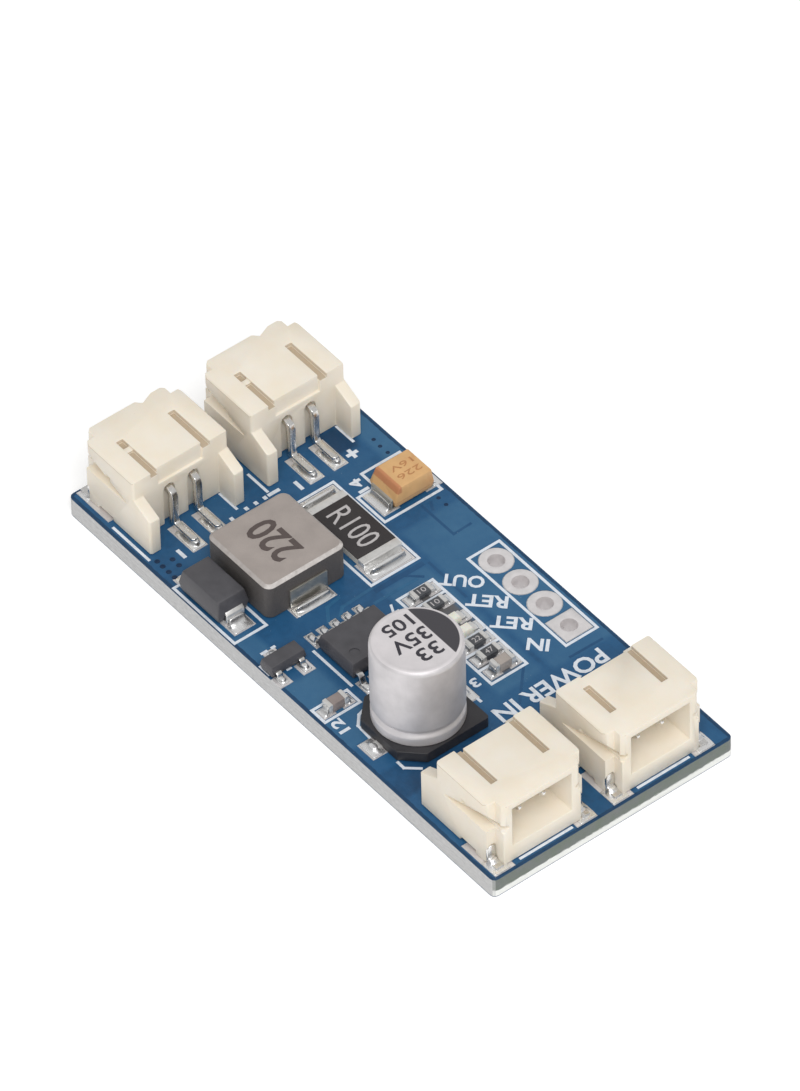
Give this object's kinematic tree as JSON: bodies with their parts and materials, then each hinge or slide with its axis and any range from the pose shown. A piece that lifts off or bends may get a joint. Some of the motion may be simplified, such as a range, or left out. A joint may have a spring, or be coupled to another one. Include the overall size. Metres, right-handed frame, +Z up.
{
  "type": "lithium battery charger module",
  "caption": "Small blue circuit board with side-entry sockets at both ends, a row of plated header holes, a power inductor, a can capacitor and a small controller.",
  "frame": {"origin": "centre of the board's underside", "axes": "+X along the board towards the input sockets, +Y towards the edge with the header holes, +Z up out of the component side"},
  "size_m": [0.045, 0.02, 0.0093],
  "materials": {
    "laminate": "cut glass-epoxy edge",
    "solder_mask": "glossy blue mask over copper",
    "tinned_land": "tinned",
    "ivory_nylon": "satin moulded",
    "tinned_contact": "satin tin plate",
    "grey_composite": "pressed powder",
    "black_coat": "matt printed coat",
    "alumina": "fired",
    "tinned_terminal": "tin plate",
    "orange_resin": "moulded resin",
    "black_resin": "moulded resin",
    "can_aluminium": "satin drawn",
    "black_base": "moulded",
    "chip_black": "glazed top",
    "chip_brown": "fired",
    "lamp_resin": "clear over a pale reflector"
  },
  "bodies": {
    "root": {"board_laminate": "laminate", "chip_capacitor_1_body": "chip_brown", "chip_capacitor_2_body": "chip_brown", "chip_end_caps": "tinned_terminal", "chip_resistor_1_body": "chip_black", "chip_resistor_2_body": "chip_black", "chip_resistor_3_body": "chip_black", "chip_resistor_4_body": "chip_black", "contact_pads": "tinned_land", "controller_body": "black_resin", "controller_leads": "tinned_terminal", "diode_body": "black_resin", "diode_terminal_1": "tinned_terminal", "diode_terminal_2": "tinned_terminal", "electrolytic_base": "black_base", "electrolytic_can": "can_aluminium", "electrolytic_lead_1": "tinned_terminal", "electrolytic_lead_2": "tinned_terminal", "header_eyelet_1": "tinned_land", "header_eyelet_2": "tinned_land", "header_eyelet_3": "tinned_land", "header_eyelet_4": "tinned_land", "indicator_lamp_1_body": "lamp_resin", "indicator_lamp_2_body": "lamp_resin", "inductor_body": "grey_composite", "inductor_terminal_1": "tinned_terminal", "inductor_terminal_2": "tinned_terminal", "input_socket_1_anchor_1": "tinned_contact", "input_socket_1_anchor_2": "tinned_contact", "input_socket_1_contact_1": "tinned_contact", "input_socket_1_contact_2": "tinned_contact", "input_socket_1_housing": "ivory_nylon", "input_socket_2_anchor_1": "tinned_contact", "input_socket_2_anchor_2": "tinned_contact", "input_socket_2_contact_1": "tinned_contact", "input_socket_2_contact_2": "tinned_contact", "input_socket_2_housing": "ivory_nylon", "output_socket_1_anchor_1": "tinned_contact", "output_socket_1_anchor_2": "tinned_contact", "output_socket_1_contact_1": "tinned_contact", "output_socket_1_contact_2": "tinned_contact", "output_socket_1_housing": "ivory_nylon", "output_socket_2_anchor_1": "tinned_contact", "output_socket_2_anchor_2": "tinned_contact", "output_socket_2_contact_1": "tinned_contact", "output_socket_2_contact_2": "tinned_contact", "output_socket_2_housing": "ivory_nylon", "sense_resistor_body": "alumina", "sense_resistor_coat": "black_coat", "sense_resistor_end_1": "tinned_terminal", "sense_resistor_end_2": "tinned_terminal", "solder_mask_bottom": "solder_mask", "solder_mask_top": "solder_mask", "tantalum_capacitor_body": "orange_resin", "tantalum_capacitor_terminal_1": "tinned_terminal", "tantalum_capacitor_terminal_2": "tinned_terminal", "transistor_body": "black_resin", "transistor_leads": "tinned_terminal"}
  },
  "joints": []
}
